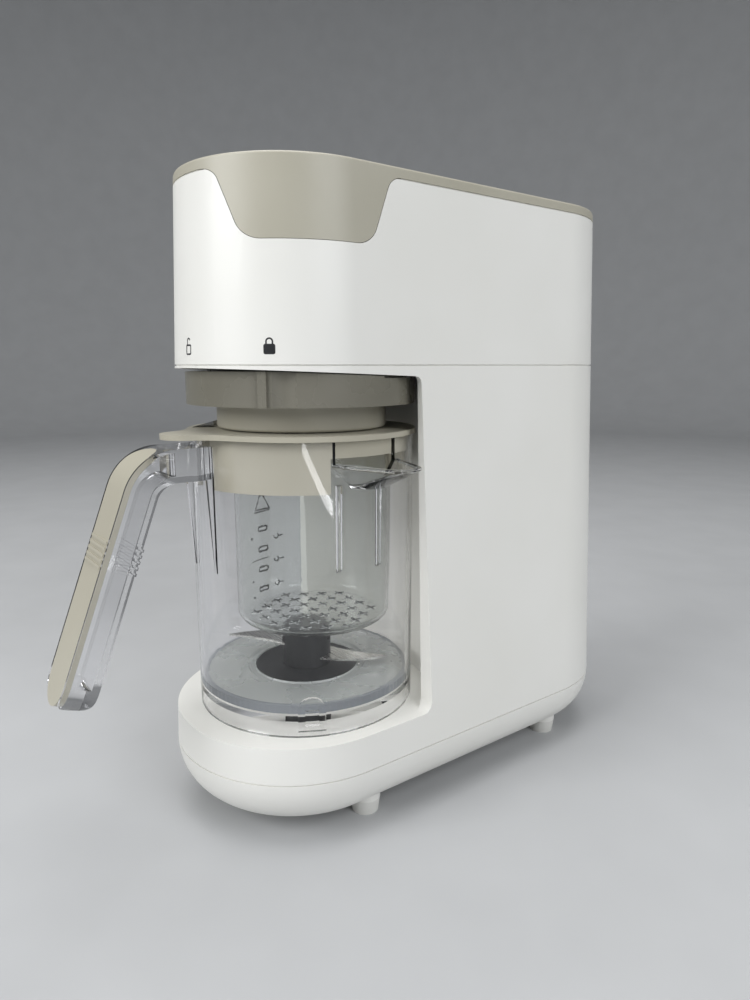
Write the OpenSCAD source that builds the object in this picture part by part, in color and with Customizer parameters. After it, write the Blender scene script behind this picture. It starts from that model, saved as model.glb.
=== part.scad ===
// Countertop baby food steamer and blender.
// Design frame: the jug axis is x = 0, y = 0; the nose points to -Y, the spout to +X and z = 0 is the table.
// The finished part is shifted so that its origin is the bottom centre of the overall box.

/* [Tower] */
// Height from the table to the top face
total_h = 332.3; // [320:1:350]
// How far the tower's sides stand outside the jug's wall, at table level
side_out = 10.3; // [10:0.1:14]
// Distance between the centres of the nose round and the tail round
spine_l = 153.4; // [148:0.2:170]
// How far the nose round's centre lies ahead of the jug axis
nose_lead = 5.2; // [4:0.2:8]
// Draft of every upright wall, in degrees
draft = 2.35; // [2.1:0.05:2.5]
// Thickness of the housing walls
wall = 2.4; // [2:0.1:2.8]
// Width and depth of the shadow line at each seam of the housing
seam = 0.7; // [0.4:0.1:0.9]

/* [Base] */
// Height of the feet
foot_h = 8; // [6:0.5:9]
// Radius of a foot at its sole
foot_r = 7.2; // [6:0.1:8]
// Distance of the feet from the middle plane
foot_x = 46.4; // [44:0.2:48]
// Radius of the bowl-shaped turn of the base pan
pan_round = 29; // [22:0.5:29]
// Height of the base pan above its own flat bottom
pan_h = 30.4; // [29.5:0.1:31]
// Height of the deck's top above the table
deck_z = 57.1; // [56:0.2:60]
// Radius of the rounded corner between the deck and the column
deck_round = 6; // [3:0.5:8]

/* [Bay] */
// Room between the jug's wall and the hollow behind it, at the ceiling
bay_room = 6.2; // [1.6:0.1:7]
// Draft of the hollow's wall, in degrees
bay_draft = 1; // [0.5:0.1:2.4]
// Distance of the column's front from the jug axis, at the ceiling
column_y = 32.9; // [28:0.1:34]
// Backward lean of the column's front from ceiling to deck, in degrees
column_lean = 1.4; // [0.5:0.1:3]
// Height of the ceiling's edge at the column
ceiling_z = 235.7; // [234.6:0.1:236.4]
// Rise of the ceiling's edge towards the nose, in degrees
ceiling_rise = 2.4; // [1:0.1:2.6]
// Radius of the rounded corner between the column and the ceiling
ceiling_round = 3.4; // [2:0.2:5]

/* [Head] */
// Height of the seam between the lower body and the head
head_z = 241.5; // [241:0.1:244]
// Height of the cover's rim
rim_h = 5; // [4:0.2:6]
// Depth of the bib below the rim
bib_h = 31.4; // [26:0.2:36]
// Half the width of the bib's level bottom edge
bib_flat = 21.8; // [18:0.1:28]
// Corner radius of the bib
bib_round = 11; // [8:0.5:14]
// Slope of the bib's sides from upright, in degrees
bib_slope = 19; // [10:1:26]
// Direction that the bib faces, in degrees from the nose towards the spout side
bib_turn = 69; // [60:0.5:80]
// Gap between the bib and the head around it
bib_gap = 0.25; // [0.15:0.05:0.4]

/* [Jug] */
// Outer radius of the jug
jug_r = 60.2; // [59:0.1:60.4]
// Wall of the jug
jug_wall = 2.6; // [2:0.1:3]
// Height of the jug without its lid
jug_h = 148.2; // [148:0.1:148.4]
// Gap between the deck and the jug's bottom edge
jug_gap = 0.3; // [0.2:0.05:0.4]
// Height of the jug floor above the jug's bottom edge
floor_h = 12.2; // [11:0.2:14]
// Length of the spout from the jug's wall
spout_l = 33; // [20:1:34]
// Half the width of the spout where it leaves the wall
spout_half = 20; // [16:0.5:22]
// Depth of the spout's bowl
spout_depth = 12; // [5:0.5:13]
// Direction of the spout, in degrees from the handle
spout_turn = 91; // [84:0.5:92]

/* [Handle] */
// Width of the handle
handle_w = 27; // [22:0.5:30]
// Thickness of the handle with its inlay
handle_t = 16; // [13:0.5:18]
// Thickness of the handle's inlay
inlay_t = 3; // [2:0.2:4]
// Distance from the jug axis to the start of the handle's bend
handle_reach = 76.9; // [74:0.1:82]
// Radius of the bend, measured at the middle of the handle
handle_bend = 18.7; // [17:0.1:24]
// Lean of the grip from upright, in degrees
grip_lean = 20.5; // [12:0.5:22]
// Length of the grip between the bend and the centre of its round end
grip_l = 98; // [85:1:104]

/* [Lid and basket] */
// How far the lid reaches beyond the jug's wall
lid_over = 1.1; // [0.6:0.1:1.6]
// Thickness of the lid
lid_t = 2.6; // [2:0.1:3]
// Depth of the lid's collar inside the jug
collar_h = 25.4; // [20:0.2:30]
// Outer radius of the steaming basket
basket_r = 43; // [36:0.5:44]
// Wall of the steaming basket
basket_wall = 1.8; // [1.4:0.1:2.2]
// Height of the basket's underside above the jug's bottom edge
basket_z = 43.9; // [42:0.2:50]

/* [Blades] */
// Radius of the blade hub
hub_r = 13.8; // [12:0.2:15]
// Height of the blade hub
hub_h = 23; // [18:0.5:24]
// Radius that the blade tips sweep
blade_r = 47; // [42:0.5:50]
// Thickness of a blade
blade_t = 1.2; // [1:0.1:2]
// Radius of the black plate under the hub
plate_r = 29; // [26:0.5:32]

/* [Steam head] */
// Outer radius of the locking ring
ring_r = 60.6; // [59:0.1:60.8]
// Height of the locking ring
ring_h = 16.6; // [14:0.2:17]
// Turn of the ring between its two padlock marks, in degrees
ring_turn = 36; // [20:1:45]
// Direction of the ring's tab, in degrees from the nose towards the spout side
tab_turn = 42; // [38:0.5:50]
// Outer radius of the steam sleeve
sleeve_r = 45.3; // [44:0.1:46]
// Rise of the steam sleeve when the ring is turned open
sleeve_rise = 8; // [5:0.5:9]

/* [Drive] */
// Radius of the driven pulley under the jug
pulley_big = 24; // [20:0.5:26]
// Radius of the motor's pulley
pulley_small = 10; // [8:0.5:12]
// Distance from the jug axis to the motor axis
motor_y = 108; // [104:0.5:112]
// Radius of the motor's can
motor_r = 27; // [22:0.5:29]
// Height of the motor's can
motor_h = 70; // [50:1:78]
// Radius of the drive shaft
shaft_r = 4; // [3:0.1:5]

/* [Top] */
// Radius of a push button
button_r = 8.5; // [7:0.1:9.5]
// Travel of a push button
button_travel = 1.2; // [0.8:0.1:1.5]
// Length of the tank's flap
flap_l = 90; // [80:1:94]
// Half the width of the tank's flap
flap_half = 32; // [28:0.5:34]
// Radius of the flap's hinge pin
pin_r = 1.5; // [1.2:0.1:1.8]

/* [Hidden] */
$fn = 96;

// Running and seating gaps
gap = 0.3;
run_gap = 0.05;
big = 600;

// Heights
table_w = 2 * (jug_r + side_out);
bay_r = jug_r + bay_room;
lid_r = jug_r + lid_over;
pan_top = foot_h + pan_h;
rim_z = total_h - rim_h;
nose_y = -nose_lead;
tail_y = nose_y + spine_l;
jug_z = deck_z + jug_gap;
jug_top = jug_z + jug_h;
floor_top = jug_z + floor_h + 4.2;
lid_z = jug_top + gap;
lid_top = lid_z + lid_t;

// Colours
white = [0.93, 0.93, 0.91];
greige = [0.67, 0.65, 0.6];
cream = [0.78, 0.76, 0.68];
clear_plastic = [0.8, 0.85, 0.9, 0.35];
smoke = [0.55, 0.57, 0.6, 0.6];
black = [0.1, 0.1, 0.1];
steel = [0.75, 0.75, 0.77];
brass = [0.78, 0.66, 0.38];
rubber = [0.35, 0.36, 0.38];

// Half the tower's width at height z
function half_w(z) = table_w / 2 - tan(draft) * z;
// Distance of the column's front from the jug axis at height z
function column_front(z) = column_y + tan(column_lean) * (ceiling_z - z);
// Height of the ceiling's edge at depth y
function ceiling_at(y) = ceiling_z + tan(ceiling_rise) * (column_y - y);
// Point at radius r and turn a, counted from the nose towards the spout side
function polar(r, a) = [r * sin(a), -r * cos(a)];

// ---- Shared shapes ----

// Carries a section of radius and height round the tower's outline: nose, both sides and tail
module around() {
    translate([0, nose_y, 0]) rotate_extrude(angle = 180, start = 180) children();
    translate([0, tail_y, 0]) rotate_extrude(angle = 180, start = 0) children();
    translate([0, tail_y, 0]) rotate([90, 0, 0]) linear_extrude(spine_l) {
        children();
        mirror([1, 0]) children();
    }
}

// Solid tower between two heights, inset from the outside
module tower_block(z0, z1, inset) {
    around() polygon([[0, z0], [half_w(z0) - inset, z0], [half_w(z1) - inset, z1], [0, z1]]);
}

// Wall section with the shadow line cut into its top edge
module wall_section(z0, z1, line) {
    polygon([
        [half_w(z0) - wall, z0], [half_w(z0), z0], [half_w(z1 - line), z1 - line],
        [half_w(z1) - line, z1 - line], [half_w(z1) - line, z1], [half_w(z1) - wall, z1]
    ]);
}

// Rectangle with round corners, centred
module rounded_rect(w, l, r) {
    square([w - 2 * r, l], center = true);
    square([w, l - 2 * r], center = true);
    for (sx = [-1, 1], sy = [-1, 1])
        translate([sx * (w / 2 - r), sy * (l / 2 - r)]) circle(r);
}

// Flat ring
module ring(r_out, r_in, h) {
    difference() {
        cylinder(r = r_out, h = h);
        translate([0, 0, -1]) cylinder(r = r_in, h = h + 2);
    }
}

// Places children at a turn counted from the nose towards the spout side
module at_turn(a) {
    rotate([0, 0, a]) children();
}

// ---- Base ----

foot_front_y = 8;
foot_back_y = 155;
foot_top_r = foot_r + 1.1;
screw_x = 34;
screw_front_y = -20;
screw_back_y = tail_y + 21;
screw_r = 1.5;
screw_head_r = 3.3;
screw_head_h = 2.2;
screw_l = 16;
boss_r = 6;
boss_top = foot_h + 6.2;
lip_t = 1.6;
lip_h = 3;
peg_r = 3;
peg_h = 4;

module foot_places() {
    for (sx = [-1, 1], y = [foot_front_y, foot_back_y]) translate([sx * foot_x, y, 0]) children();
}

module screw_places() {
    for (sx = [-1, 1], y = [screw_front_y, screw_back_y]) translate([sx * screw_x, y, 0]) children();
}

module pan_section(inset) {
    turn_x = half_w(pan_top) - pan_round;
    turn_z = foot_h + pan_round;
    translate([0, foot_h + inset]) square([turn_x, pan_h - inset]);
    translate([turn_x, turn_z]) square([pan_round - inset, pan_top - turn_z]);
    intersection() {
        translate([turn_x, turn_z]) circle(pan_round - inset);
        translate([turn_x, 0]) square([pan_round, turn_z]);
    }
}

// Section of the pan's upright lip, which locates the lower body
module pan_lip_section() {
    outer = half_w(pan_top) - wall;
    polygon([
        [outer - gap - lip_t, pan_top - lip_h], [outer + 0.2, pan_top - lip_h], [outer + 0.2, pan_top - 0.1],
        [outer - gap, pan_top - 0.1], [outer - gap, pan_top + lip_h], [outer - gap - lip_t, pan_top + lip_h]
    ]);
}

bracket_z = 34;
bracket_post_x = 30;
bracket_post_dy = 24;
vent_n = 7;
vent_w = 3;
vent_l = 34;
vent_pitch = 6;

module bracket_post_places() {
    for (sx = [-1, 1], sy = [-1, 1])
        translate([sx * bracket_post_x, motor_y + sy * bracket_post_dy, 0]) children();
}

module base_pan() {
    color(white) difference() {
        union() {
            around() difference() {
                pan_section(0);
                pan_section(wall);
                // shadow line
                translate([half_w(pan_top) - seam, pan_top - seam]) square([wall, wall]);
            }
            around() pan_lip_section();
            foot_places() translate([0, 0, foot_h]) cylinder(r = foot_top_r, h = peg_h + 1.6);
            screw_places() translate([0, 0, foot_h]) cylinder(r = boss_r, h = boss_top - foot_h);
            bracket_post_places() translate([0, 0, foot_h]) cylinder(r = 4, h = bracket_z - foot_h);
            // seat of the drive shaft's lower bearing
            translate([0, 0, foot_h + wall / 2]) cylinder(r = bearing_r + 3, h = bearing_low_z - foot_h + 1.2);
        }
        foot_places() translate([0, 0, foot_h - 1]) cylinder(r = peg_r + run_gap, h = peg_h + 1);
        screw_places() {
            translate([0, 0, foot_h - 1]) cylinder(r = screw_head_r + gap, h = screw_head_h + 2.2);
            translate([0, 0, foot_h]) cylinder(r = screw_r + gap, h = boss_r + 2);
        }
        for (i = [0:vent_n - 1])
            translate([(i - (vent_n - 1) / 2) * vent_pitch - vent_w / 2, motor_y - vent_l / 2, foot_h - 1])
                cube([vent_w, vent_l, wall + 2]);
        translate([0, 0, bearing_low_z]) cylinder(r = bearing_r, h = big);
        // notch for the inlet
        translate([-inlet_w / 2 - gap, tail_y, inlet_z - gap]) cube([inlet_w + 2 * gap, 100, 60]);
    }
}

module feet() {
    color(white) foot_places() {
        cylinder(r1 = foot_r, r2 = foot_top_r, h = foot_h);
        translate([0, 0, foot_h - 0.5]) cylinder(r = peg_r, h = peg_h);
    }
}

module pan_screws() {
    color(steel) screw_places() translate([0, 0, foot_h + 1.2]) difference() {
        union() {
            cylinder(r = screw_head_r, h = screw_head_h);
            cylinder(r = screw_r, h = screw_l);
        }
        // cross recess
        translate([-2, -0.4, -1]) cube([4, 0.8, 2]);
        translate([-0.4, -2, -1]) cube([0.8, 4, 2]);
    }
}

// ---- Lower body: deck, column and the band under the head ----

// Side view of the bay in front of the column, in y and z, grown by a wall
module bay_side(grow) {
    low = deck_z - grow;
    far = -big / 2;
    y_low = column_front(low) + grow;
    y_high = column_front(ceiling_z) + grow;
    difference() {
        polygon([
            [far, low], [y_low, low], [y_high, ceiling_z + grow],
            [far, ceiling_z + grow + tan(ceiling_rise) * (y_high - far)]
        ]);
        round_corner([y_low, low], deck_round, -1, 1);
        round_corner([y_high, ceiling_z + grow], ceiling_round, -1, -1);
    }
}

// Fills a square corner in the plane up to an arc of radius r
module round_corner(p, r, sx, sy) {
    translate(p) mirror([sx < 0 ? 1 : 0, 0]) mirror([0, sy < 0 ? 1 : 0]) difference() {
        translate([-1, -1]) square([r + 1, r + 1]);
        translate([r, r]) circle(r);
    }
}

module bay(grow) {
    rotate([90, 0, 90]) translate([0, 0, -big / 2]) linear_extrude(big) bay_side(grow);
    translate([0, 0, deck_z - grow])
        cylinder(r1 = bay_r + grow + tan(bay_draft) * (ceiling_z - deck_z), r2 = bay_r + grow,
                 h = ceiling_z - deck_z + 2 * grow);
}

// Everything that isn't hollow because it borders the bay
module bay_shell() {
    bay(wall);
    translate([0, 0, ceiling_z]) cylinder(r = bay_r + wall, h = head_z - ceiling_z + 1);
}

// Inside of the band, open up to the head
module band_opening() {
    intersection() {
        tower_block(ceiling_z - 10, head_z + 1, wall);
        union() {
            translate([-big / 2, -big, ceiling_z - 5]) cube([big, big + column_y - ceiling_round, 20]);
            translate([0, 0, ceiling_z - 5]) cylinder(r = bay_r, h = 20);
        }
    }
}

ledge_z = 134;
tank_z = total_h - 116;
ledge_h = 5;
fork_hole_r = 13;

module lower_body() {
    color(white) difference() {
        union() {
            difference() {
                union() {
                    around() wall_section(pan_top, head_z, seam);
                    intersection() {
                        tower_block(pan_top, head_z, wall / 2);
                        bay_shell();
                    }
                }
                bay(0);
                band_opening();
            }
            body_posts();
            body_ledges();
            // cup under the deck that holds the upper bearing and clears the fork
            translate([0, 0, bearing_high_z]) cylinder(r = fork_hole_r + wall, h = deck_z - wall / 2 - bearing_high_z);
        }
        translate([0, 0, 40]) cylinder(r = bearing_r, h = bearing_high_z + bearing_h - 40);
        translate([0, 0, fork_z - gap]) cylinder(r = fork_hole_r, h = 20);
        screw_places() translate([0, 0, 10]) cylinder(r = screw_r, h = 18);
        translate([-inlet_w / 2 - gap, tail_y, inlet_z - 20]) cube([inlet_w + 2 * gap, 100, inlet_h + 20 + gap]);
    }
}

// Screw posts: the front pair hangs from the deck, the back pair is webbed to the tail
module body_posts() {
    post_z = boss_top + gap;
    intersection() {
        screw_places() translate([0, 0, post_z]) cylinder(r = 4.5, h = 60);
        union() {
            translate([-big / 2, -big, 0]) cube([big, big + column_y, deck_z - wall / 2]);
            translate([-big / 2, column_y, 0]) cube([big, big, post_z + 45]);
        }
    }
    intersection() {
        for (sx = [-1, 1]) translate([sx * (screw_x + 20), screw_back_y, post_z + 36])
            cube([40, 2.4, 18], center = true);
        tower_block(pan_top, pan_top + 60, wall / 2);
    }
}

// Blocks on the side walls that carry the inner frame and the tank
module body_ledges() {
    for (sx = [-1, 1], y = [88, 150], z = [ledge_z, tank_z]) intersection() {
        translate([sx * 60, y, z - ledge_h / 2]) cube([24, 14, ledge_h], center = true);
        tower_block(z - ledge_h, z, wall / 2);
    }
}

// ---- Head and cover ----

head_floor = 2.4;
steam_hole_r = 47.4;
bib_fillet = 8;

// Outline of the bib in the plane it faces, grown by a gap: round lower corners and hollow upper ones
module bib_outline(grow) {
    r = bib_round + grow;
    hollow_r = bib_fillet - grow;
    low = rim_z - bib_h + bib_round;
    side_x = bib_flat + r * cos(bib_slope);
    side_z = low - r * sin(bib_slope);
    hollow_z = rim_z - bib_fillet;
    hollow_x = side_x + (hollow_z - side_z) * tan(bib_slope) + hollow_r / cos(bib_slope);
    right = concat(
        arc([bib_flat, low], r, -90, -bib_slope),
        arc([hollow_x, hollow_z], hollow_r, 180 - bib_slope, 90),
        [[hollow_x, rim_z + 1]]
    );
    polygon(concat(right, [for (i = [len(right) - 1:-1:0]) [-right[i][0], right[i][1]]]));
}

module bib_prism(grow) {
    translate([0, nose_y, 0]) rotate([0, 0, bib_turn]) rotate([90, 0, 0])
        linear_extrude(100) bib_outline(grow);
}

module head_housing() {
    color(white) difference() {
        union() {
            around() wall_section(head_z, rim_z, seam);
            intersection() {
                tower_block(head_z, head_z + head_floor, wall / 2);
                translate([-big / 2, -big, 0]) cube([big, big + 70, big]);
            }
        }
        translate([0, 0, head_z - 1]) cylinder(r = steam_hole_r, h = head_floor + 2);
        bib_prism(bib_gap);
    }
}

plate_t = 3.2;
cover_lip = 7;
edge_round = 1.4;
panel_w = 44;
panel_l = 78;
panel_y = 42;
panel_t = 1.2;
button_pitch = 24;
hinge_y = 96;
barrel_r = 2.5;
hinge_z = total_h - 2.7;
flap_t = 2.8;
flap_y0 = hinge_y + 2.8;
flap_round = 10;
barrel_half = 29;
ear_w = 5;
filler_half = 22;
filler_l = 56;
filler_y = 146;
board_z = total_h - 18;
board_t = 1.6;

module cover_rim_section() {
    outer_low = half_w(rim_z);
    outer_high = half_w(total_h);
    inner = half_w(rim_z) - wall - gap;
    difference() {
        polygon([
            [inner - lip_t, rim_z - cover_lip], [inner, rim_z - cover_lip], [inner, rim_z], [outer_low, rim_z],
            [outer_high, total_h], [inner - lip_t, total_h]
        ]);
        round_corner([outer_high, total_h], edge_round, -1, -1);
    }
}

module finger_notch() {
    translate([0, flap_y0 + flap_l, total_h + 16]) sphere(r = 18);
}

module flap_place() {
    translate([0, flap_y0 + (flap_l - 2.8) / 2, 0]) children();
}

module top_cover() {
    color(greige) difference() {
        union() {
            around() cover_rim_section();
            tower_block(total_h - plate_t, total_h, wall);
            // bib: a piece of the head's own wall
            intersection() {
                around() wall_section(head_z, rim_z + 0.5, 0);
                bib_prism(0);
            }
            // ears of the flap's hinge
            for (sx = [-1, 1]) translate([sx * (barrel_half + gap + ear_w / 2), hinge_y, hinge_z])
                cube([ear_w, 6, 6], center = true);
            for (sy = [-1, 1]) translate([sy * 16, panel_y, board_z + board_t])
                cylinder(r = 3, h = total_h - plate_t / 2 - board_z - board_t);
        }
        translate([0, panel_y, total_h - panel_t]) linear_extrude(big) rounded_rect(panel_w, panel_l, 12);
        button_places() translate([0, 0, board_z]) cylinder(r = button_r + 0.4, h = big);
        flap_place() translate([0, 0, total_h - flap_t])
            linear_extrude(big) rounded_rect(2 * (flap_half + 0.5), flap_l - 2.8 + 1, flap_round + 0.5);
        translate([-barrel_half - gap, hinge_y - 3.9, total_h - plate_t - 4])
            cube([2 * (barrel_half + gap), 12, 20]);
        translate([-filler_half, filler_y - filler_l / 2, total_h - plate_t - 1]) cube([2 * filler_half, filler_l, 10]);
        // finger notch
        finger_notch();
        translate([0, hinge_y, hinge_z]) rotate([0, 90, 0]) cylinder(r = pin_r, h = 2 * (barrel_half + 4), center = true);
    }
}

module button_places() {
    for (i = [-1:1]) translate([0, panel_y + i * button_pitch, 0]) children();
}

module control_panel() {
    color([0.3, 0.3, 0.3]) difference() {
        translate([0, panel_y, total_h - panel_t]) linear_extrude(panel_t)
            rounded_rect(panel_w - 0.5, panel_l - 0.5, 11.75);
        button_places() translate([0, 0, board_z]) cylinder(r = button_r + 0.4, h = big);
    }
}

module button(i) {
    translate([0, panel_y + i * button_pitch, 0]) {
        translate([0, 0, total_h - plate_t - gap - 1.5]) cylinder(r = button_r + 1.8, h = 1.5);
        translate([0, 0, total_h - plate_t - gap - 0.5]) cylinder(r = button_r, h = plate_t + gap + 0.3);
        translate([0, 0, board_z + board_t + 2 + button_travel + gap])
            cylinder(r = 2, h = total_h - plate_t - board_z - board_t - 3 - button_travel - gap);
    }
}

module control_board() {
    color([0.1, 0.4, 0.2]) {
        translate([-panel_w / 2 + 2, panel_y - panel_l / 2 + 3, board_z]) cube([panel_w - 4, panel_l - 6, board_t]);
        button_places() translate([-3, -3, board_z + board_t - 0.1]) cube([6, 6, 2.1]);
    }
}

module tank_flap() {
    color(greige) difference() {
        union() {
            flap_place() translate([0, 0, total_h - flap_t])
                linear_extrude(flap_t) rounded_rect(2 * flap_half, flap_l - 2.8, flap_round);
            translate([-barrel_half, hinge_y, total_h - flap_t]) cube([2 * barrel_half, 12, flap_t]);
            translate([0, hinge_y, hinge_z]) rotate([0, 90, 0]) cylinder(r = barrel_r, h = 2 * barrel_half, center = true);
        }
        translate([0, hinge_y, hinge_z]) rotate([0, 90, 0])
            cylinder(r = pin_r + run_gap, h = big, center = true);
        finger_notch();
    }
}

module flap_pin() {
    color(steel) translate([0, hinge_y, hinge_z]) rotate([0, 90, 0])
        cylinder(r = pin_r, h = 2 * (barrel_half + 4), center = true);
}

// ---- Steam head: carrier, locking ring, sleeve ----

ring_z = head_z - 19.8;
ring_wall = 2.4;
neck_r = half_w(head_z) - wall - 0.6;
shelf_z = ring_z + 3.4;
shelf_t = 2.4;
carrier_wall = 2.2;
carrier_in = sleeve_r + 1.9;
carrier_out = carrier_in + carrier_wall;
lip_out = carrier_out + 2.6;
sleeve_wall = 2.2;
sleeve_z = lid_top + gap + 0.2;
sleeve_top = head_z + 1;
web_z = sleeve_z + 3.4;
web_t = 2;
guide_n = 3;
nozzle_r = 6;
pipe_r = 4;

module ring_carrier() {
    color(greige) rotate_extrude() polygon([
        [carrier_in, ring_z + 1], [lip_out, ring_z + 1], [lip_out, shelf_z - gap], [carrier_out, shelf_z - gap],
        [carrier_out, head_z - 2.4], [steam_hole_r + 7, head_z - 2.4], [steam_hole_r + 7, head_z],
        [carrier_in, head_z]
    ]);
}

tab_w = 4.2;
tab_out = 1.4;
front_from = -50;
front_to = 100;

// Everything above the sloping edge of the band, less a gap
module over_ceiling() {
    rotate([90, 0, 90]) translate([0, 0, -big / 2]) linear_extrude(big) polygon([
        [-big / 2, ceiling_at(-big / 2) - 2 * gap], [column_y, ceiling_z - 2 * gap], [column_y, big], [-big / 2, big]
    ]);
}

module lock_ring() {
    color(greige) difference() {
        union() {
            rotate_extrude() polygon([
                [neck_r - ring_wall, ring_z], [ring_r, ring_z], [ring_r, ceiling_z - 2 * gap],
                [neck_r, ceiling_z - 2 * gap], [neck_r, ring_z + ring_h],
                [neck_r - ring_wall, ring_z + ring_h], [neck_r - ring_wall, shelf_z + shelf_t],
                [carrier_out + 0.4, shelf_z + shelf_t], [carrier_out + 0.4, shelf_z], [neck_r - ring_wall, shelf_z]
            ]);
            // higher front and its tab, both under the sloping edge of the band
            difference() {
                union() {
                    rotate([0, 0, front_from - 90]) rotate_extrude(angle = front_to - front_from)
                        translate([neck_r - 1, ceiling_z - 2]) square([ring_r - neck_r + 1, ring_z + ring_h - ceiling_z + 2]);
                    at_turn(tab_turn) translate([-tab_w / 2, -ring_r - tab_out, ring_z])
                        cube([tab_w, tab_out + 1, ring_h]);
                }
                for (a = [0, ring_turn]) rotate([0, 0, a]) over_ceiling();
            }
        }
        // finger scoop beside the tab
        at_turn(tab_turn + 9.5) translate([0, -ring_r - 8.4, ring_z - 1]) cylinder(r = 10.4, h = ring_h + 2);
    }
}

module steam_sleeve() {
    inner = sleeve_r - sleeve_wall;
    color(greige) {
        rotate_extrude() difference() {
            polygon([
                [inner, sleeve_z], [sleeve_r, sleeve_z], [sleeve_r, sleeve_top], [inner, sleeve_top],
                [inner, web_z + web_t], [nozzle_r, web_z + web_t], [nozzle_r, web_z], [inner, web_z]
            ]);
            round_corner([sleeve_r, sleeve_z], 1.6, -1, 1);
        }
        for (i = [0:guide_n - 1]) at_turn(i * 360 / guide_n)
            translate([-2, -carrier_in + gap, ring_z + 3]) cube([4, carrier_in - sleeve_r + 0.6, 16]);
    }
}

module sleeve_seal() {
    seal_r = sleeve_r - sleeve_wall;
    color(rubber) translate([0, 0, sleeve_z - 0.2]) ring(seal_r, seal_r - 3, web_z - sleeve_z + 0.2);
}

module steam_nozzle() {
    color(steel) rotate_extrude() polygon([
        [2, web_z - 2], [nozzle_r - run_gap, web_z - 2], [nozzle_r - run_gap, web_z + web_t],
        [9, web_z + web_t], [9, web_z + web_t + 2], [nozzle_r, web_z + web_t + 2],
        [nozzle_r, web_z + 22], [pipe_r + gap, web_z + 22], [pipe_r + gap, web_z + 3], [2, web_z + 3]
    ]);
}

// ---- Steam and water, inside ----

pipe_y = 78;
pipe_low = web_z + 3 + sleeve_rise + 1;
pipe_high = head_z + 22.5;
pipe_bend = 10;
boiler_y = 108;
boiler_r = 31;
frame_z = ledge_z;
frame_t = 3;
boiler_z = frame_z + frame_t;
boiler_h = 42;

module pipe_run() {
    straight_y = pipe_y - 2 * pipe_bend;
    translate([0, 0, pipe_low]) cylinder(r = pipe_r, h = pipe_high - pipe_bend - pipe_low);
    translate([0, pipe_bend, pipe_high - pipe_bend]) rotate([0, -90, 0]) rotate([0, 0, -90])
        rotate_extrude(angle = 90) translate([pipe_bend, 0]) circle(pipe_r);
    translate([0, pipe_bend, pipe_high]) rotate([-90, 0, 0]) cylinder(r = pipe_r, h = straight_y);
    translate([0, pipe_y - pipe_bend, pipe_high - pipe_bend]) rotate([0, -90, 0])
        rotate_extrude(angle = 90) translate([pipe_bend, 0]) circle(pipe_r);
    translate([0, pipe_y, boiler_z + boiler_h]) cylinder(r = pipe_r, h = pipe_high - pipe_bend - boiler_z - boiler_h);
}

module steam_pipe() {
    color(steel) pipe_run();
}

module boiler() {
    color([0.7, 0.7, 0.7]) translate([0, boiler_y, boiler_z]) {
        cylinder(r = boiler_r + 3, h = 4);
        cylinder(r = boiler_r, h = boiler_h);
        // heater terminals
        for (sx = [-1, 1]) translate([sx * boiler_r, 0, 14]) rotate([0, 90, 0]) cylinder(r = 3, h = 10, center = true);
    }
}

module inner_frame() {
    color([0.6, 0.6, 0.62]) difference() {
        intersection() {
            tower_block(frame_z, frame_z + frame_t, wall + gap);
            translate([-big / 2, bay_r + 12, 0]) cube([big, big, big]);
        }
        translate([0, 178, frame_z - 1]) cylinder(r = 9, h = frame_t + 2);
    }
}

tank_half = 42;
tank_round = 22;
tank_y0 = 90;
tank_y1 = 190;
tank_t = 2;
tank_top = total_h - plate_t - 6;
outlet_y = 150;
outlet_r = 5;

module water_tank() {
    yc = (tank_y0 + tank_y1) / 2;
    l = tank_y1 - tank_y0;
    color([0.85, 0.9, 0.95, 0.5]) difference() {
        union() {
            translate([0, yc, tank_z]) linear_extrude(tank_top - tank_z)
                rounded_rect(2 * tank_half, l, tank_round);
            // shoulders that sit on the ledges
            translate([-50.5, yc - 40, tank_z]) cube([101, 66, 4]);
            translate([0, outlet_y, tank_z - 8]) cylinder(r = outlet_r, h = 9);
        }
        translate([0, yc, tank_z + tank_t]) linear_extrude(big)
            rounded_rect(2 * (tank_half - tank_t), l - 2 * tank_t, tank_round - tank_t);
        translate([0, outlet_y, tank_z - 20]) cylinder(r = outlet_r - 1.5, h = 30);
    }
}

hose_r = 5;
hose_bend = 12;
hose_z = boiler_z + boiler_h - 14;

module feed_hose() {
    top = tank_z - 8;
    end_y = boiler_y + boiler_r;
    color([0.8, 0.8, 0.78]) difference() {
        union() {
            translate([0, outlet_y, hose_z + hose_bend]) cylinder(r = hose_r, h = top - hose_z - hose_bend);
            translate([0, outlet_y - hose_bend, hose_z + hose_bend]) rotate([0, 90, 0]) rotate([0, 0, 0])
                rotate_extrude(angle = 90) translate([hose_bend, 0]) circle(hose_r);
        }
        translate([0, end_y, 0]) translate([-20, -40, 0]) cube([40, 40, big]);
    }
}

module power_board() {
    color([0.1, 0.4, 0.2]) {
        translate([-32, 168, frame_z + frame_t]) cube([64, 1.6, 62]);
        translate([-22, 169.5, frame_z + frame_t + 20]) cube([16, 12, 22]);
        translate([6, 169.5, frame_z + frame_t + 14]) cube([18, 16, 14]);
    }
}

inlet_w = 25;
inlet_h = 18;
inlet_d = 18;
inlet_z = pan_top + 3.9;
inlet_y = tail_y + half_w(inlet_z) - 5;

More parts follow.
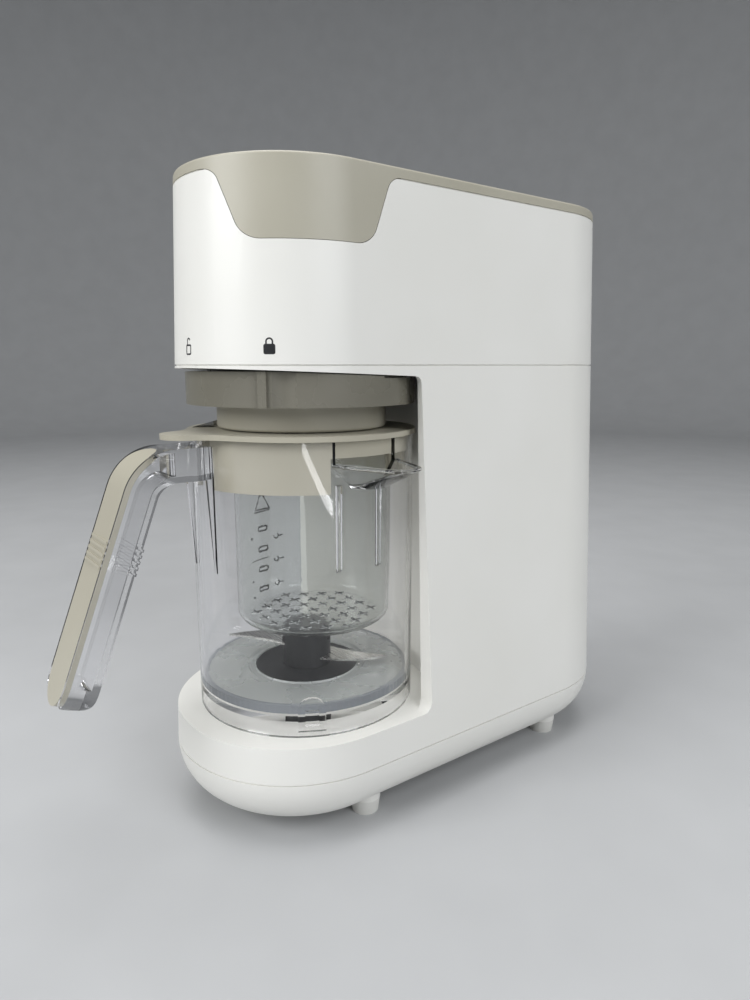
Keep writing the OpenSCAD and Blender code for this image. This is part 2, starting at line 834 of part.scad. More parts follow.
module power_inlet() {
    color(black) {
        difference() {
            union() {
                translate([-inlet_w / 2, inlet_y - inlet_d, inlet_z]) cube([inlet_w, inlet_d, inlet_h]);
                // retaining shoulder inside the wall
                translate([-inlet_w / 2 - 3, inlet_y - inlet_d, inlet_z + 3]) cube([inlet_w + 6, inlet_d - 3, inlet_h - 3 - gap]);
            }
            translate([0, inlet_y + 1, inlet_z + inlet_h / 2]) rotate([90, 0, 0]) linear_extrude(13) rounded_rect(19, 10, 4.9);
        }
        for (sx = [-1, 1]) translate([sx * 4.3, inlet_y - 3, inlet_z + inlet_h / 2]) rotate([90, 0, 0]) cylinder(r = 1.2, h = 10);
    }
}

module lock_switch() {
    color(black) {
        translate([-10, 52, head_z + head_floor]) cube([20, 8, 10]);
        translate([-2, 51, head_z + head_floor + 3]) cube([4, 2, 4]);
    }
}

// ---- Drive ----

bearing_r = 9;
bearing_h = 6;
bearing_low_z = foot_h + 4;
bearing_high_z = deck_z - 12.8;
pulley_z = 21;
pulley_h = 10;
belt_t = 1.6;
belt_h = 7;
fork_z = bearing_high_z + bearing_h + gap;
fork_r = 12;
fork_top = jug_z + 7;
slot_w = 8;

module drive_bearings() {
    color(brass) for (z = [bearing_low_z, bearing_high_z])
        translate([0, 0, z]) ring(bearing_r, shaft_r + run_gap, bearing_h);
}

module drive_shaft() {
    color(steel) translate([0, 0, bearing_low_z + 1]) cylinder(r = shaft_r, h = fork_z + 3 - bearing_low_z - 1);
}

module pulley(r, bore, z) {
    translate([0, 0, z]) difference() {
        union() {
            cylinder(r = r, h = pulley_h);
            cylinder(r = r + 1.6, h = 1);
            translate([0, 0, pulley_h - 1]) cylinder(r = r + 1.6, h = 1);
        }
        translate([0, 0, -1]) cylinder(r = bore, h = pulley_h + 2);
    }
}

module drive_pulley() {
    color(black) difference() {
        pulley(pulley_big, shaft_r, pulley_z);
        for (i = [0:5]) rotate([0, 0, i * 60]) translate([14, 0, pulley_z - 1]) cylinder(r = 4.5, h = pulley_h + 2);
    }
}

module motor_pulley() {
    color(black) translate([0, motor_y, 0]) pulley(pulley_small, 3, pulley_z);
}

// Belt: outer tangents of the two pulleys, as a ring of arcs and straight runs
module belt_outline(grow) {
    r1 = pulley_big + grow;
    r2 = pulley_small + grow;
    a = asin((r1 - r2) / motor_y);
    circle(r1);
    translate([0, motor_y]) circle(r2);
    polygon([
        [r1 * cos(a), r1 * sin(a)], [r2 * cos(a), motor_y + r2 * sin(a)],
        [-r2 * cos(a), motor_y + r2 * sin(a)], [-r1 * cos(a), r1 * sin(a)]
    ]);
}

module drive_belt() {
    color(black) translate([0, 0, pulley_z + (pulley_h - belt_h) / 2]) linear_extrude(belt_h) difference() {
        belt_outline(gap + belt_t);
        belt_outline(gap);
    }
}

// Fork that takes the jug's tang; its slot runs fore and aft at rest
module drive_fork() {
    color(black) difference() {
        translate([0, 0, fork_z]) cylinder(r = fork_r, h = fork_top - fork_z);
        translate([-slot_w / 2, -20, jug_z - 0.6]) cube([slot_w, 40, 20]);
        translate([0, 0, fork_z - 1]) cylinder(r = shaft_r, h = 4);
    }
}

module motor_bracket() {
    color([0.6, 0.6, 0.62]) translate([0, motor_y, bracket_z]) difference() {
        linear_extrude(3) rounded_rect(2 * bracket_post_x + 12, 2 * bracket_post_dy + 12, 6);
        translate([0, 0, -1]) cylinder(r = 8, h = 5);
    }
}

module motor_can() {
    color([0.55, 0.55, 0.57]) translate([0, motor_y, bracket_z + 3]) difference() {
        union() {
            cylinder(r = motor_r, h = motor_h);
            translate([0, 0, motor_h]) cylinder(r = 10, h = 4);
        }
        // air windows
        for (i = [0:5]) rotate([0, 0, i * 60 + 30]) translate([motor_r - 5, -4, 10]) cube([10, 8, 14]);
        translate([0, 0, -1]) cylinder(r = 3 + run_gap, h = motor_h);
    }
}

module motor_shaft() {
    color(steel) translate([0, motor_y, pulley_z - 2]) cylinder(r = 3, h = bracket_z + 3 + motor_h - 4 - pulley_z + 2);
}

// ---- Jug ----

jug_in = jug_r - jug_wall;
seal_z = floor_top - 4.3;
notch_half = fork_r + 3;
spout_z = jug_top - 10.4;
spout_t = 2;
spout_rib_y = 11;
spout_rib_turn = 85;
spout_rib_l = 53;
rib_t = 2.2;
handle_rib_l = 67;
handle_top = jug_top - 3.2;
bend_r = handle_bend + handle_t / 2;
bend_steps = 16;
bend_centre = [-handle_reach, handle_top - bend_r];
grip_out = [-cos(grip_lean), sin(grip_lean)];
grip_up = [sin(grip_lean), cos(grip_lean)];
handle_edge = 1.5;
inlay_back = 5.3;
ridge_n = 5;
ridge_from = 24;
ridge_pitch = 2.9;
ridge_t = 1.4;
ridge_out = 0.5;
lug_turn = 61;
lug_half = 7;
lug_h = 17.7;
lug_t = 2;

module jug_wall_section() {
    polygon([
        [jug_in, jug_z], [jug_r, jug_z], [jug_r, jug_top], [jug_in, jug_top],
        [jug_in, seal_z], [jug_in - 2.2, seal_z], [jug_in - 2.2, seal_z - 2], [jug_in, seal_z - 4.2]
    ]);
}

// Puts a shape made along +X in the spout's direction
module spout_place() {
    rotate([0, 0, spout_turn - 90]) children();
}

// Spoon-shaped bowl of the spout, inset by the wall, with its mouth raised
module spout_bowl(inset, raise) {
    tip_r = spout_half / 2;
    hull() {
        translate([jug_r - 6, 0, spout_z - 1]) cylinder(r = spout_half - inset, h = 1 + raise, $fn = 32);
        translate([jug_r + spout_l - tip_r, 0, spout_z - 1]) cylinder(r = tip_r - inset, h = 1 + raise, $fn = 32);
        translate([jug_r - 2, 0, spout_z - spout_depth + inset]) cylinder(r = tip_r, h = 1, $fn = 32);
    }
}

// Ribs that stiffen the wall under the spout
module spout_ribs() {
    for (side = [-1, 1]) translate([0, side * spout_rib_y + rib_t / 2, 0]) rotate([90, 0, 0]) linear_extrude(rib_t)
        polygon([
            [jug_r - 1, spout_z - spout_rib_l], [jug_r + 0.8, spout_z - spout_rib_l + 2],
            [jug_r + 1.6, spout_z - spout_depth + 2], [jug_r - 1, spout_z - spout_depth + 2]
        ]);
}

// Ribs under the handle's root, tapering down into the wall
module handle_ribs() {
    for (side = [-1, 1]) translate([side * (handle_w / 2 - rib_t / 2) - rib_t / 2, 0, 0]) rotate([90, 0, 90])
        linear_extrude(rib_t) polygon([
            [-jug_r + 6, jug_top - handle_rib_l], [-jug_r + 1, jug_top - handle_rib_l], [-jug_r - 2, handle_top - handle_t],
            [-jug_r + 6, handle_top - handle_t]
        ]);
}

module jug_wall() {
    color(clear_plastic) difference() {
        union() {
            rotate_extrude() jug_wall_section();
            difference() {
                union() {
                    spout_place() spout_bowl(0, 0);
                    at_turn(spout_rib_turn) rotate([0, 0, -90]) spout_ribs();
                    handle_ribs();
                    // locating lug on the skirt
                    at_turn(lug_turn) translate([0, -jug_r + 1, jug_z + 4.2]) rotate([90, 0, 0])
                        linear_extrude(lug_t + 1) difference() {
                            union() {
                                translate([-lug_half, 0]) square([2 * lug_half, lug_h - lug_half]);
                                translate([0, lug_h - lug_half]) circle(lug_half);
                            }
                            translate([-lug_half / 2, 3]) square([lug_half, 8]);
                        }
                }
                translate([0, 0, jug_z]) cylinder(r = (jug_in + jug_r) / 2, h = big);
            }
        }
        spout_place() {
            spout_bowl(spout_t, 5);
            // mouth through the wall, open at the rim
            translate([jug_in - 8, -spout_half + spout_t, spout_z - 0.6]) cube([jug_wall + 12, 2 * (spout_half - spout_t), 30]);
        }
        // clearance over the drive fork when the jug slides out
        translate([-notch_half, 30, jug_z - 1]) cube([2 * notch_half, 60, fork_top - jug_z + 2]);
    }
}

// Points on an arc about a centre, from one angle to another
function arc(centre, r, from, to, steps = bend_steps) =
    [for (i = [0:steps]) let (a = from + (to - from) * i / steps) centre + r * [cos(a), sin(a)]];

// Side view of the handle's bend and grip, in y and z, between two depths from its outer face
module handle_side(d0, d1, l) {
    polygon(concat(
        arc(bend_centre, bend_r - d0, 90, 180 - grip_lean),
        [bend_centre + (bend_r - d0) * grip_out - l * grip_up, bend_centre + (bend_r - d1) * grip_out - l * grip_up],
        arc(bend_centre, bend_r - d1, 180 - grip_lean, 90)
    ));
}

// Side view of the whole handle, from inside the jug's wall to the round end of the grip
module handle_outline() {
    end_r = handle_t / 2;
    end_centre = bend_centre + (bend_r - end_r) * grip_out - grip_l * grip_up;
    polygon(concat(
        [[-jug_r + 4, handle_top - handle_t], [-jug_r + 4, handle_top]],
        arc(bend_centre, bend_r, 90, 180 - grip_lean),
        arc(end_centre, end_r, 180 - grip_lean, 360 - grip_lean),
        arc(bend_centre, bend_r - handle_t, 180 - grip_lean, 90)
    ));
}

// Side view carried across the handle
module across(w) {
    rotate([90, 0, 90]) translate([0, 0, -w / 2]) linear_extrude(w) children();
}

// Everything above the grip's tongue-shaped end, seen square to its face, less an edge all round
module tongue_face(edge) {
    r = handle_w / 2 - edge;
    l = grip_l + handle_t / 2 - handle_w / 2;
    centre = bend_centre + (bend_r - handle_t / 2) * grip_out - l * grip_up;
    translate([0, centre[0], centre[1]]) rotate([90 - grip_lean, 0, 0]) translate([0, 0, -big / 2])
        linear_extrude(big) polygon(concat(arc([0, 0], r, 180, 360), [[r, big], [-r, big]]));
}

// The inlay's rounded top end, seen from above
module inlay_start(edge) {
    r = handle_w / 2 - edge;
    translate([0, -handle_reach - inlay_back - r, -big / 2])
        linear_extrude(2 * big) polygon(concat(arc([0, 0], r, 0, 180), [[-r, -big], [r, -big]]));
}

module inlay_shape(grow) {
    intersection() {
        across(handle_w - 2 * handle_edge + 2 * grow) handle_side(-grow * 20, inlay_t + grow, grip_l + handle_t);
        tongue_face(handle_edge - grow);
        inlay_start(handle_edge - grow);
    }
}

// Ridges that run round the grip
module grip_ridges(w, d0, d1) {
    corner = bend_centre + bend_r * grip_out - ridge_from * grip_up;
    translate([0, corner[0], corner[1]]) rotate([90 - grip_lean, 0, 0])
        for (i = [0:ridge_n - 1]) translate([-w / 2, -i * ridge_pitch - ridge_t, -d1]) cube([w, ridge_t, d1 - d0]);
}

module jug_handle() {
    color(clear_plastic) difference() {
        union() {
            intersection() {
                across(handle_w) handle_outline();
                tongue_face(0);
            }
            grip_ridges(handle_w + 2 * ridge_out, inlay_t + 2, handle_t + ridge_out);
        }
        translate([0, 0, jug_z]) cylinder(r = jug_r, h = big);
        // channel that the inlay closes
        inlay_shape(0.05);
        across(handle_w - 2 * handle_edge - 3) handle_side(inlay_t - 1, handle_t - 3, grip_l - 5);
    }
}

module handle_inlay() {
    color(cream) {
        inlay_shape(0);
        grip_ridges(handle_w - 2 * handle_edge - 1, -ridge_out, inlay_t / 2);
    }
}

module jug_floor() {
    color(smoke) difference() {
        rotate_extrude() polygon([
            [bush_r, seal_z - 3], [bush_r + 4, seal_z - 3], [bush_r + 6, seal_z], [jug_in - 2.4, seal_z],
            [jug_in - 2.4, floor_top], [plate_r + 5, floor_top], [plate_r + 3.5, floor_top - 1.2],
            [plate_r + 1, floor_top - 1.2], [plate_r + gap, floor_top - 0.4],
            [plate_r + gap, floor_top - 2.8], [bush_r, floor_top - 2.8]
        ]);
    }
}

module floor_seal() {
    color(rubber) translate([0, 0, seal_z]) ring(jug_in, jug_in - 2.4, floor_top - seal_z);
}

bush_r = 7;
stem_r = 3.5;
plate_top = floor_top - 0.8;

module blade_plate() {
    color(black) translate([0, 0, floor_top - 2.8]) ring(plate_r, bush_r, plate_top - floor_top + 2.8);
}

module blade_bush() {
    color(brass) translate([0, 0, seal_z - 3]) ring(bush_r, stem_r + run_gap, plate_top - seal_z + 3);
}

hub_z = plate_top + 0.6;
lower_blade_z = hub_z + 4.6;
upper_blade_z = hub_z + 11.6;
blade_turn = 45;

module hub_body() {
    difference() {
        union() {
            cylinder(r = hub_r, h = hub_h - 3);
            translate([0, 0, hub_h - 3]) cylinder(r1 = hub_r, r2 = hub_r - 3, h = 3);
        }
        translate([0, 0, -1]) cylinder(r = stem_r, h = hub_h - 4);
        // finger flats
        for (s = [-1, 1]) translate([s * (hub_r + 8.2), 0, hub_h - 9]) cylinder(r = 10, h = 12);
    }
}

module blade_shape(grow) {
    intersection() {
        difference() {
            translate([18, 36]) circle(46.1 + grow);
            translate([47.3, 82]) circle(82 - grow);
        }
        translate([6, -20]) square([blade_r - 6 + grow, 30]);
    }
}

module blade_hub() {
    color(black) difference() {
        translate([0, 0, hub_z]) rotate([0, 0, blade_turn]) hub_body();
        for (b = [[0, lower_blade_z], [180, upper_blade_z]]) rotate([0, 0, blade_turn + b[0]])
            translate([0, 0, b[1]]) linear_extrude(blade_t) blade_shape(0.01);
    }
}

module blade(z, a) {
    color(steel) rotate([0, 0, blade_turn + a]) translate([0, 0, z]) linear_extrude(blade_t) blade_shape(0);
}

module blade_shaft() {
    color(steel) translate([0, 0, tang_z + 3]) cylinder(r = stem_r, h = hub_z + hub_h - 5 - tang_z - 3);
}

tang_z = jug_z + 0.2;
tang_t = slot_w - 1.2;

module blade_tang() {
    color(black) difference() {
        union() {
            translate([-tang_t / 2, -fork_r + 1, tang_z]) cube([tang_t, 2 * fork_r - 2, fork_top - tang_z + 0.6]);
            translate([0, 0, fork_top + 0.5]) cylinder(r = 9, h = seal_z - 3 - gap - fork_top - 0.5);
        }
        translate([0, 0, tang_z + 3]) cylinder(r = stem_r, h = 20);
    }
}

// ---- Lid and basket ----

collar_r = jug_in - 0.5;
collar_t = 2;
pour_from = 72;
pour_to = 150;
pour_z = jug_top - 8;
tongue_half = 13;
tongue_y = 65.8;
tongue_hollow = 20;
handle_notch = 8;
flange_z = lid_z - 8;

// Outline of the plate: a disc whose thumb tongue grows out of it in two hollow curves
module lid_outline() {
    hollow_y = ((lid_r + tongue_hollow) ^ 2 - (tongue_half + tongue_hollow) ^ 2 + tongue_y ^ 2) / (2 * tongue_y);
    hollow_x = sqrt((lid_r + tongue_hollow) ^ 2 - hollow_y ^ 2);
    disc_a = atan2(hollow_x, hollow_y);
    tip_a = atan2(hollow_x, hollow_y - tongue_y);
    polygon(concat(
        arc([0, 0], lid_r, disc_a - 90, 270 - disc_a, 90),
        arc([-hollow_x, -hollow_y], tongue_hollow, 90 - disc_a, 90 - tip_a),
        arc([0, -tongue_y], tongue_half, 270 - tip_a, tip_a + 270),
        arc([hollow_x, -hollow_y], tongue_hollow, 90 + tip_a, 90 + disc_a)
    ));
}

module lid() {
    color(cream) difference() {
        union() {
            translate([0, 0, lid_z]) linear_extrude(lid_t) lid_outline();
            translate([0, 0, lid_z - collar_h]) ring(collar_r, collar_r - collar_t, collar_h + 0.5);
            // lugs that carry the basket
            for (i = [0:2]) at_turn(i * 120 + 40) translate([-6, -collar_r + 0.5, flange_z - 2]) cube([12, 4.5, 2]);
        }
        // pour gap towards the spout
        translate([0, 0, lid_z - collar_h - 1]) linear_extrude(collar_h + 1 - lid_z + pour_z) polygon([
            [0, 0], polar(90, pour_from), polar(90, (pour_from + pour_to) / 2), polar(90, pour_to)
        ]);
        // gap in the collar behind the handle
        translate([-handle_notch, -collar_r - 1, lid_z - collar_h - 1]) cube([2 * handle_notch, 10, collar_h + 1]);
        translate([0, 0, lid_z - 1]) cylinder(r = 10, h = lid_t + 2);
    }
}

module lid_valve() {
    color(smoke) at_turn(-40) translate([-10, -lid_r + 3, lid_top]) rotate([90, 0, 90])
        linear_extrude(20) polygon([[0, 0], [lid_r - 3 - sleeve_r - 1, 0], [lid_r - 3 - sleeve_r - 1, 3.4]]);
}

hole_pitch = 11;
cross_l = 7;
cross_w = 1.2;
basket_y = 5.5;
basket_round = 6;

module steam_basket() {
    base_z = jug_z + basket_z;
    turn = [basket_r - basket_round, base_z + basket_round];
    color(clear_plastic) difference() {
        union() {
            translate([0, basket_y, 0]) rotate_extrude() polygon(concat(
                [[0, base_z + basket_wall], [0, base_z]],
                arc(turn, basket_round, -90, 0),
                [[basket_r, flange_z + 2], [basket_r - basket_wall, flange_z + 2]],
                arc(turn, basket_round - basket_wall, 0, -90)
            ));
            difference() {
                translate([0, 0, flange_z]) cylinder(r = collar_r - collar_t - gap, h = 2);
                translate([0, basket_y, flange_z - 1]) cylinder(r = basket_r - basket_wall, h = 4);
            }
        }
        for (i = [-3:3], j = [-3:3]) {
            x = hole_pitch * (i + j / 2);
            y = hole_pitch * j * sqrt(3) / 2;
            if (norm([x, y]) < basket_r - basket_round - 3) translate([x, y + basket_y, base_z + 1]) {
                cube([cross_l, cross_w, 4], center = true);
                cube([cross_w, cross_l, 4], center = true);
            }
        }
    }
}

// ---- The part ----

handle_tip = handle_reach + handle_bend * cos(grip_lean) + grip_l * sin(grip_lean) + handle_t / 2;
spout_tip = (jug_r + spout_l - spout_half / 2) * sin(spout_turn) + spout_half / 2;
frame_x = (spout_tip - half_w(pan_top)) / 2;
frame_y = (tail_y + half_w(pan_top) - handle_tip) / 2;

module placed() {
    translate([-frame_x, -frame_y, 0]) children();
}

placed() base_pan();
placed() feet();
placed() pan_screws();
placed() lower_body();
placed() head_housing();
placed() top_cover();
placed() control_panel();
placed() control_board();
placed() lock_switch();
placed() ring_carrier();
placed() inner_frame();
placed() motor_bracket();
placed() motor_can();
placed() drive_bearings();
placed() drive_belt();
placed() boiler();
placed() steam_pipe();
placed() water_tank();
placed() feed_hose();
placed() power_board();
placed() power_inlet();
placed() flap_pin();
placed() tank_flap();
placed() color(cream) button(-1);  // power_button
placed() color(cream) button(0);  // steam_button
placed() color(cream) button(1);  // blend_button
placed() lock_ring();
placed() steam_sleeve();
placed() sleeve_seal();
placed() steam_nozzle();
placed() motor_shaft();
placed() motor_pulley();
placed() drive_shaft();
placed() drive_pulley();
placed() drive_fork();
placed() jug_wall();
placed() jug_handle();
placed() handle_inlay();
placed() jug_floor();
placed() floor_seal();
placed() blade_plate();
placed() blade_bush();
placed() blade_hub();
placed() blade(lower_blade_z, 0);  // lower_blade
placed() blade(upper_blade_z, 180);  // upper_blade
placed() blade_shaft();
placed() blade_tang();
placed() lid();
placed() lid_valve();
placed() steam_basket();
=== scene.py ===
import math

import bmesh
import bpy
from mathutils import Euler, Matrix, Vector


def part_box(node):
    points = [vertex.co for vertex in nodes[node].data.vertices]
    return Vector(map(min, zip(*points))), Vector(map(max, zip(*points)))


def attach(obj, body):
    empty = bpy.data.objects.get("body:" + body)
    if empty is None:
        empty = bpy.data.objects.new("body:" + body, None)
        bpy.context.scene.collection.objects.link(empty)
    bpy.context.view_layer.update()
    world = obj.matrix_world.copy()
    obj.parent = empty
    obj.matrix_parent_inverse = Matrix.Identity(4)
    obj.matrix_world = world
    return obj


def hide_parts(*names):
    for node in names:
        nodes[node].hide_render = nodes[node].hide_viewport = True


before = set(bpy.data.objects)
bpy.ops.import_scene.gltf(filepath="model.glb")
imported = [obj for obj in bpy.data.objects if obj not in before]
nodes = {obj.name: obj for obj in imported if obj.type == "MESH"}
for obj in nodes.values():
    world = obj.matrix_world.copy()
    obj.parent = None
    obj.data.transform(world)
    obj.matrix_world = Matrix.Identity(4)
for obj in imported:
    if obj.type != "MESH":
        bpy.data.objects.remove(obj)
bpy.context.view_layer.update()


# ---------------------------------------------------------------------------
# Base pan, lower body and head
# The housing is three deep shells of white ABS, injection moulded with a
# fine spark-eroded grain and clipped and screwed together from below, so
# only a thin shadow line shows where one shell meets the next.
# ---------------------------------------------------------------------------

MM = 0.001


def srgb(code):
    """Opaque linear colour of an sRGB hex value."""
    levels = [int(code[i:i + 2], 16) / 255 for i in (1, 3, 5)]
    linear = [c / 12.92 if c <= 0.04045 else ((c + 0.055) / 1.055) ** 2.4 for c in levels]
    return (*linear, 1.0)


def add_node(material, kind, values=None, links=None):
    """Adds a shader node: values are set on its sockets, and links are what feeds them."""
    tree = material.node_tree
    new = tree.nodes.new(kind)
    for socket, value in (values or {}).items():
        new.inputs[socket].default_value = value
    for socket, source in (links or {}).items():
        tree.links.new(source, new.inputs[socket])
    return new


def new_material(name):
    material = bpy.data.materials.new(name)
    material.use_nodes = True
    material.node_tree.nodes.clear()
    return material


def finish_material(material, shader):
    add_node(material, "ShaderNodeOutputMaterial", links={"Surface": shader.outputs[0]})
    return material


def clouded(material, place, colour, shade, size_mm):
    """Colour that drifts between two close shades, over clouds of a given size."""
    clouds = add_node(material, "ShaderNodeTexNoise", {"Scale": 1 / (size_mm * MM), "Detail": 2.0},
                      {"Vector": place})
    ramp = add_node(material, "ShaderNodeValToRGB", links={"Fac": clouds.outputs["Fac"]})
    ramp.color_ramp.elements[0].position = 0.3
    ramp.color_ramp.elements[0].color = srgb(shade)
    ramp.color_ramp.elements[1].position = 0.7
    ramp.color_ramp.elements[1].color = srgb(colour)
    return ramp.outputs["Color"]


def wandering(material, place, middle, spread, size_mm):
    """Roughness that wanders a little either side of its middle."""
    drift = add_node(material, "ShaderNodeTexNoise", {"Scale": 1 / (size_mm * MM), "Detail": 3.0},
                     {"Vector": place})
    level = add_node(material, "ShaderNodeMapRange", {
        "From Min": 0.3, "From Max": 0.7, "To Min": middle - spread, "To Max": middle + spread}, {
        "Value": drift.outputs["Fac"]})
    return level.outputs["Result"]


def moulded(name, colour, shade, rough, grain_mm, depth_mm, ior):
    """Moulded plastic: two close shades, a fine even grain and a sheen that wanders a little."""
    material = new_material(name)
    place = add_node(material, "ShaderNodeTexCoord").outputs["Object"]
    grain = add_node(material, "ShaderNodeTexNoise", {"Scale": 1 / (grain_mm * MM), "Detail": 3.0},
                     {"Vector": place})
    bump = add_node(material, "ShaderNodeBump", {"Strength": 0.3, "Distance": depth_mm * MM},
                    {"Height": grain.outputs["Fac"]})
    shader = add_node(material, "ShaderNodeBsdfPrincipled", {"IOR": ior}, {
        "Base Color": clouded(material, place, colour, shade, size_mm=70),
        "Roughness": wandering(material, place, rough, spread=0.03, size_mm=18),
        "Normal": bump.outputs["Normal"]})
    return finish_material(material, shader)


# ABS, moulded in a spark-eroded tool: an even, silky white with soft, wide highlights.
# Its grain is 0.3 mm, drawn at 0.7 mm so that it shows.
white_abs = moulded("white moulded ABS", colour="#EEEDE8", shade="#EAE9E3", rough=0.36, grain_mm=0.7,
                    depth_mm=0.03, ior=1.53)


def smooth_group(name, angle):
    """Modifier tree that joins a part's loose triangles, shades its curves smooth and keeps its edges crisp.

    An edge is crisp where its faces turn by more than the angle, in degrees.
    """
    group = bpy.data.node_groups.new(name, "GeometryNodeTree")
    group.interface.new_socket("Geometry", in_out="INPUT", socket_type="NodeSocketGeometry")
    group.interface.new_socket("Geometry", in_out="OUTPUT", socket_type="NodeSocketGeometry")
    start = group.nodes.new("NodeGroupInput")
    end = group.nodes.new("NodeGroupOutput")
    merge = group.nodes.new("GeometryNodeMergeByDistance")
    merge.inputs["Distance"].default_value = 0.002 * MM
    smooth = group.nodes.new("GeometryNodeSetShadeSmooth")
    crisp = group.nodes.new("GeometryNodeSetShadeSmooth")
    crisp.domain = "EDGE"
    crisp.inputs["Shade Smooth"].default_value = False
    edge = group.nodes.new("GeometryNodeInputMeshEdgeAngle")
    wide = group.nodes.new("FunctionNodeCompare")
    wide.data_type = "FLOAT"
    wide.operation = "GREATER_THAN"
    wide.inputs[1].default_value = math.radians(angle)
    group.links.new(start.outputs[0], merge.inputs["Geometry"])
    group.links.new(merge.outputs[0], smooth.inputs["Geometry"])
    group.links.new(smooth.outputs[0], crisp.inputs["Geometry"])
    group.links.new(edge.outputs["Unsigned Angle"], wide.inputs[0])
    group.links.new(wide.outputs[0], crisp.inputs["Selection"])
    group.links.new(crisp.outputs[0], end.inputs[0])
    return group


smooth_curves = smooth_group("smooth curves", angle=28)
FLAT = 0.2   # faces that turn by less than this are one flat, degrees


def shade_curves(part):
    """Shades curves smooth; each flat beside them is made one face, so that it stays flat to its edge."""
    part.modifiers.new("smooth curves", "NODES").node_group = smooth_curves
    flats = part.modifiers.new("whole flats", "DECIMATE")
    flats.decimate_type = "DISSOLVE"
    flats.angle_limit = math.radians(FLAT)
    weights = part.modifiers.new("true flats", "WEIGHTED_NORMAL")
    weights.mode = "FACE_AREA"
    weights.keep_sharp = True


def dress(name, material):
    """Gives a part its material and its smooth curves."""
    part = nodes[name]
    part.data.materials.clear()
    part.data.materials.append(material)
    shade_curves(part)
    return part


for shell in ("base_pan", "lower_body", "head_housing"):
    dress(shell, white_abs)


# ---------------------------------------------------------------------------
# Feet and screws
# Four pale silicone feet are pressed into sockets in the pan, and four
# stainless screws beside them hold the pan to the body.
# ---------------------------------------------------------------------------

# Silicone, moulded and left matt: chalky white without a hard highlight.
pale_silicone = moulded("pale silicone", colour="#E6E5E0", shade="#DEDDD7", rough=0.62, grain_mm=0.5,
                        depth_mm=0.02, ior=1.41)


def streaked(name, colour, shade, rough, along, streak_mm, run_mm, depth_mm):
    """Metal worked in one direction: long fine streaks in its colour, sheen and relief.

    along is the axis that the streaks run on, 0 for X, 1 for Y and 2 for Z; run_mm is their length.
    """
    material = new_material(name)
    place = add_node(material, "ShaderNodeTexCoord").outputs["Object"]
    scale = [1 / (streak_mm * MM)] * 3
    scale[along] = 1 / (run_mm * MM)
    stretch = add_node(material, "ShaderNodeMapping", {"Scale": scale}, {"Vector": place})
    streaks = add_node(material, "ShaderNodeTexNoise", {"Scale": 1.0, "Detail": 4.0},
                       {"Vector": stretch.outputs["Vector"]})
    ramp = add_node(material, "ShaderNodeValToRGB", links={"Fac": streaks.outputs["Fac"]})
    ramp.color_ramp.elements[0].position = 0.3
    ramp.color_ramp.elements[0].color = srgb(shade)
    ramp.color_ramp.elements[1].position = 0.7
    ramp.color_ramp.elements[1].color = srgb(colour)
    level = add_node(material, "ShaderNodeMapRange", {
        "From Min": 0.3, "From Max": 0.7, "To Min": rough - 0.08, "To Max": rough + 0.08}, {
        "Value": streaks.outputs["Fac"]})
    bump = add_node(material, "ShaderNodeBump", {"Strength": 0.3, "Distance": depth_mm * MM},
                    {"Height": streaks.outputs["Fac"]})
    shader = add_node(material, "ShaderNodeBsdfPrincipled", {"Metallic": 1.0}, {
        "Base Color": ramp.outputs["Color"],
        "Roughness": level.outputs["Result"],
        "Normal": bump.outputs["Normal"]})
    return finish_material(material, shader)


# Stainless steel bar, turned and polished: bright grey with fine rings.
turned_steel = streaked("turned stainless steel", colour="#C9CACC", shade="#A9ABAE", rough=0.26,
                        along=0, streak_mm=0.25, run_mm=30, depth_mm=0.01)
dress("feet", pale_silicone)
dress("pan_screws", turned_steel)


# ---------------------------------------------------------------------------
# Top cover with its bib, and the tank's flap
# One greige ABS moulding closes the top and laps down over the head as a
# bib; the flap over the tank is the same plastic and turns on a steel pin.
# The bib carries no print.
# ---------------------------------------------------------------------------

# ABS coloured greige, spark-eroded like the white shells: warm grey, silky.
greige_abs = moulded("greige moulded ABS", colour="#B5B1A2", shade="#AEAA9A", rough=0.40, grain_mm=0.7,
                     depth_mm=0.03, ior=1.53)
dress("top_cover", greige_abs)
dress("tank_flap", greige_abs)
dress("flap_pin", turned_steel)


# ---------------------------------------------------------------------------
# Control panel and push buttons
# A dark gloss overlay is glued into a recess of the cover; three cream
# buttons stand through it, each with a plain raised sign.
# ---------------------------------------------------------------------------

# Acrylic overlay, glossy: nearly black, with one sharp reflection.
dark_acrylic = moulded("dark acrylic overlay", colour="#24262A", shade="#1E2023", rough=0.12,
                       grain_mm=1.5, depth_mm=0.004, ior=1.49)
# Polypropylene, moulded in a polished tool: warm cream with a soft gloss.
cream_pp = moulded("cream moulded polypropylene", colour="#B4B0A0", shade="#AEA999", rough=0.34,
                   grain_mm=0.9, depth_mm=0.02, ior=1.45)
# Screen ink, thin and satin: near black, with the weave's faint unevenness.
black_ink = moulded("black screen ink", colour="#1D1E21", shade="#26272A", rough=0.45, grain_mm=0.3,
                    depth_mm=0.004, ior=1.5)

dress("control_panel", dark_acrylic)
buttons = ("power_button", "steam_button", "blend_button")
for button in buttons:
    dress(button, cream_pp)

INK = 0.05   # thickness of a print, mm
LIFT = 0.01  # gap below a print, mm


